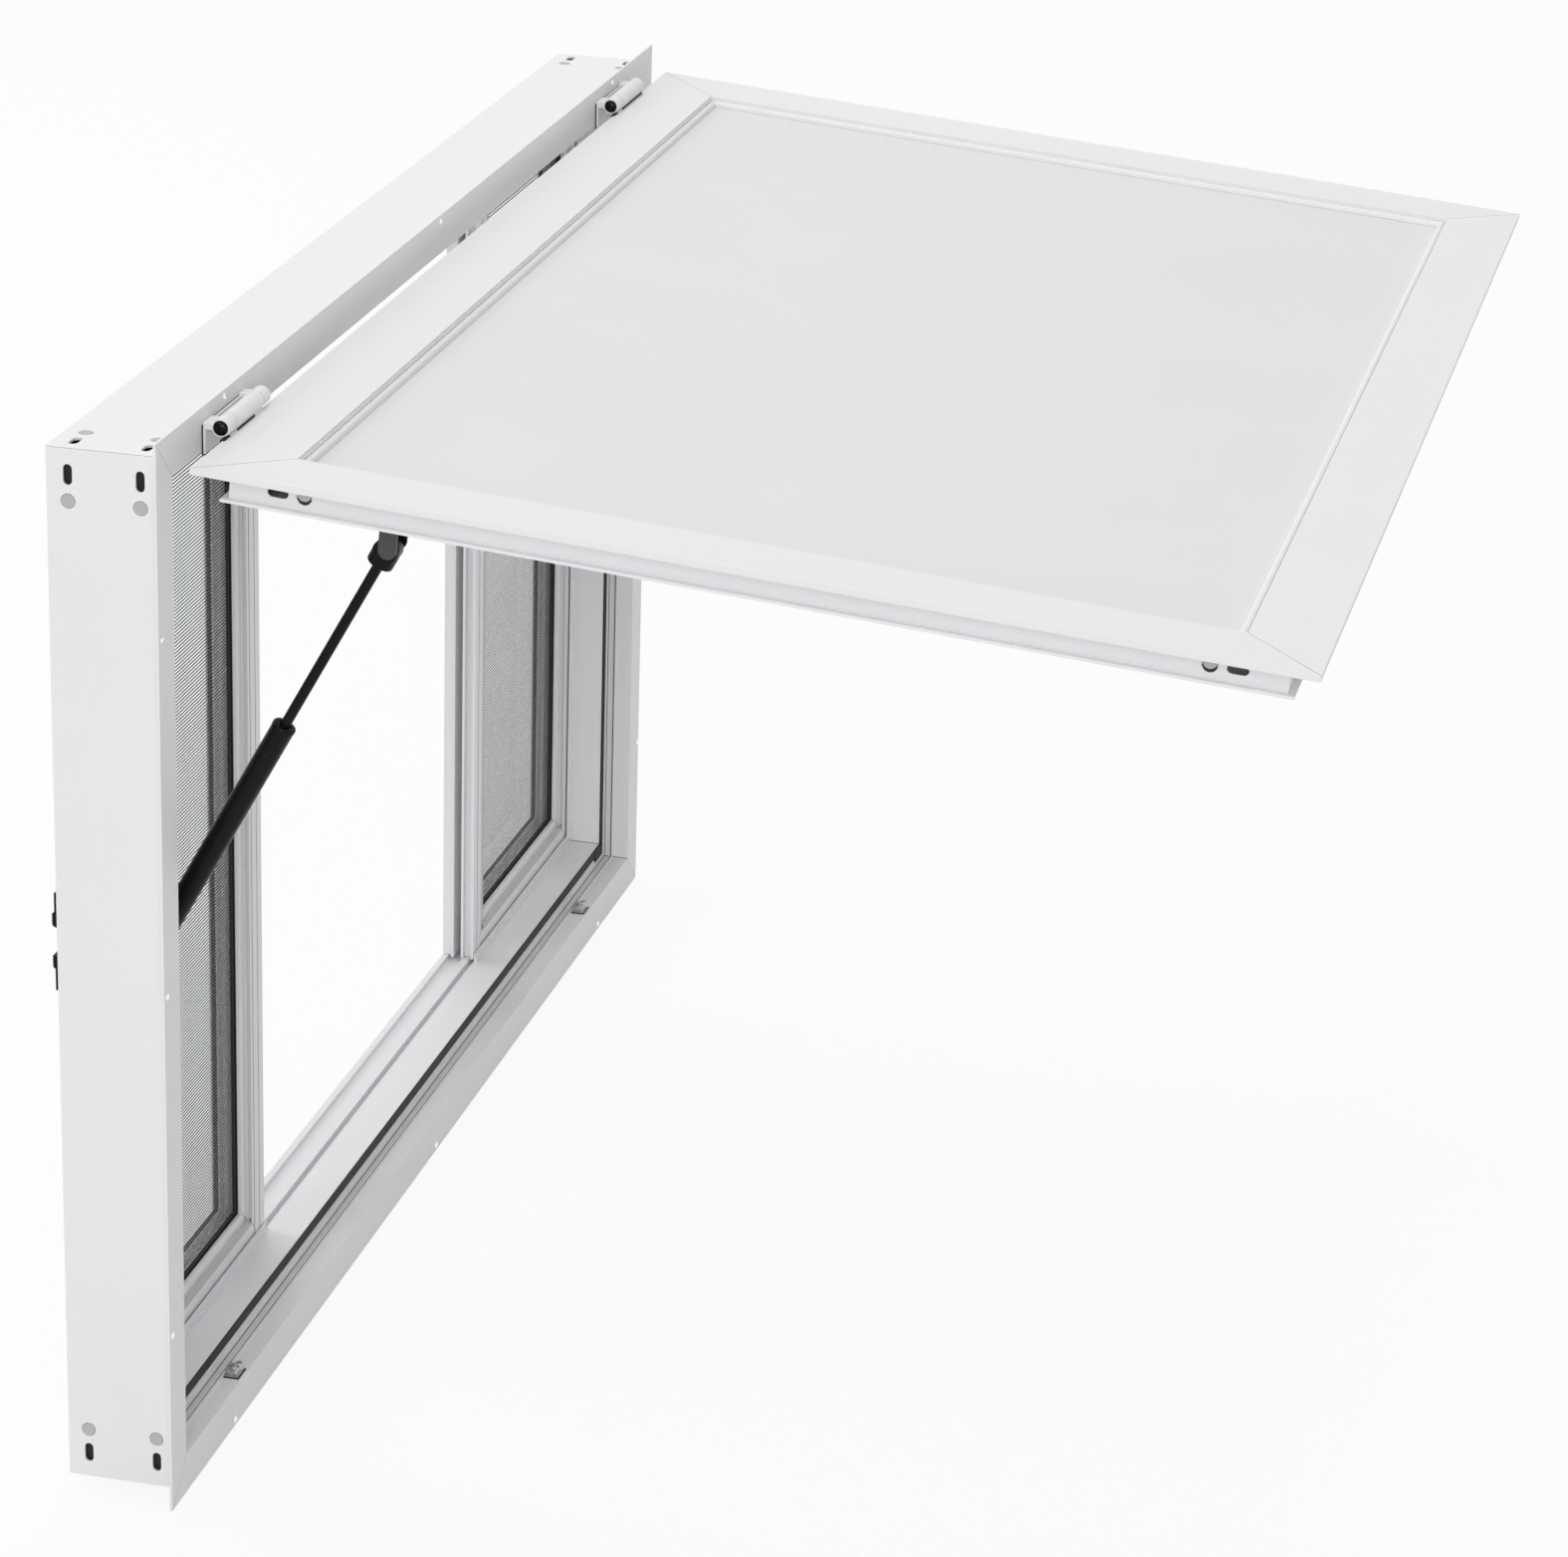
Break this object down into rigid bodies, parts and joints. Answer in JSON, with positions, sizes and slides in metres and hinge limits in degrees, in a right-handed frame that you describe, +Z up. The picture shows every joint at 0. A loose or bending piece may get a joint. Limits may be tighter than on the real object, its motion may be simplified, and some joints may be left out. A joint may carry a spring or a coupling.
{
  "type": "concession window",
  "caption": "Wall-mounted serving window with sliding screens and glass sashes under a top-hinged awning door held open on gas struts.",
  "frame": {"origin": "on the back face of the mounting flange, at mid-width, 10 mm above the flange's bottom edge", "axes": "+X along the width to the right seen from outside, +Y into the building, +Z up; the awning door swings out to -Y"},
  "size_m": [1.37, 0.9344, 0.862],
  "materials": {
    "white_aluminium": "satin white powder coat",
    "door_panel": "satin white sheet",
    "plugs": "matt",
    "glass": "clear",
    "screen": "woven screen",
    "black_rubber": "matt",
    "black_steel": "satin black",
    "bare_steel": "brushed"
  },
  "bodies": {
    "window": {"frame_head": "white_aluminium", "frame_sill": "white_aluminium", "frame_jamb_left": "white_aluminium", "frame_jamb_right": "white_aluminium", "frame_corner_plugs": "plugs", "frame_seal": "black_rubber", "screen_left_rails": "white_aluminium", "screen_left_stiles": "white_aluminium", "screen_left_pane": "screen", "screen_left_strip": "black_rubber", "screen_right_rails": "white_aluminium", "screen_right_stiles": "white_aluminium", "screen_right_pane": "screen", "screen_right_strip": "black_rubber", "glass_left_rails": "white_aluminium", "glass_left_stiles": "white_aluminium", "glass_left_pane": "glass", "glass_left_strip": "black_rubber", "glass_right_rails": "white_aluminium", "glass_right_stiles": "white_aluminium", "glass_right_pane": "glass", "glass_right_strip": "black_rubber", "sash_latches": "black_steel", "door_keeper_left": "bare_steel", "door_keeper_right": "bare_steel", "hinge_left_leaf": "white_aluminium", "hinge_right_leaf": "white_aluminium", "hinge_left_pin": "black_steel", "hinge_right_pin": "black_steel", "strut_foot_bracket_left": "black_steel", "strut_foot_bracket_right": "black_steel"},
    "awning_door": {"door_top_rail": "white_aluminium", "door_bottom_rail": "white_aluminium", "door_stile_left": "white_aluminium", "door_stile_right": "white_aluminium", "door_corner_plugs": "plugs", "door_panel": "door_panel", "door_knuckle_left": "white_aluminium", "door_knuckle_right": "white_aluminium", "door_strut_lug_left": "black_steel", "door_strut_lug_right": "black_steel"},
    "rod_left": {"strut_rod_left": "black_steel"},
    "barrel_left": {"strut_barrel_left": "black_steel"},
    "rod_right": {"strut_rod_right": "black_steel"},
    "barrel_right": {"strut_barrel_right": "black_steel"}
  },
  "joints": [
    {"name": "door_hinge", "type": "hinge", "parent": "window", "child": "awning_door", "pos_m": [0, -0.0164, 0.8377], "axis": [1, 0, 0], "range_deg": [0, 85.4]},
    {"name": "strut_top_pivot_left", "type": "hinge", "parent": "awning_door", "child": "rod_left", "pos_m": [-0.614, -0.15278, 0.76714], "axis": [1, 0, 0], "range_deg": [-116.42, 0.2]},
    {"name": "strut_stroke_left", "type": "slide", "parent": "rod_left", "child": "barrel_left", "axis": [0, -0.48, 0.8773], "range_m": [-0.0003, 0.11865]},
    {"name": "strut_top_pivot_right", "type": "hinge", "parent": "awning_door", "child": "rod_right", "pos_m": [0.614, -0.15278, 0.76714], "axis": [1, 0, 0], "range_deg": [-116.42, 0.2]},
    {"name": "strut_stroke_right", "type": "slide", "parent": "rod_right", "child": "barrel_right", "axis": [0, -0.48, 0.8773], "range_m": [-0.0003, 0.11865]}
  ],
  "couplings": [
    {"joint": "strut_top_pivot_left", "follows": "door_hinge", "ratio": -1.3609},
    {"joint": "strut_stroke_left", "follows": "door_hinge", "m_per_rad": 0.0794},
    {"joint": "strut_top_pivot_right", "follows": "door_hinge", "ratio": -1.3609},
    {"joint": "strut_stroke_right", "follows": "door_hinge", "m_per_rad": 0.0794}
  ]
}
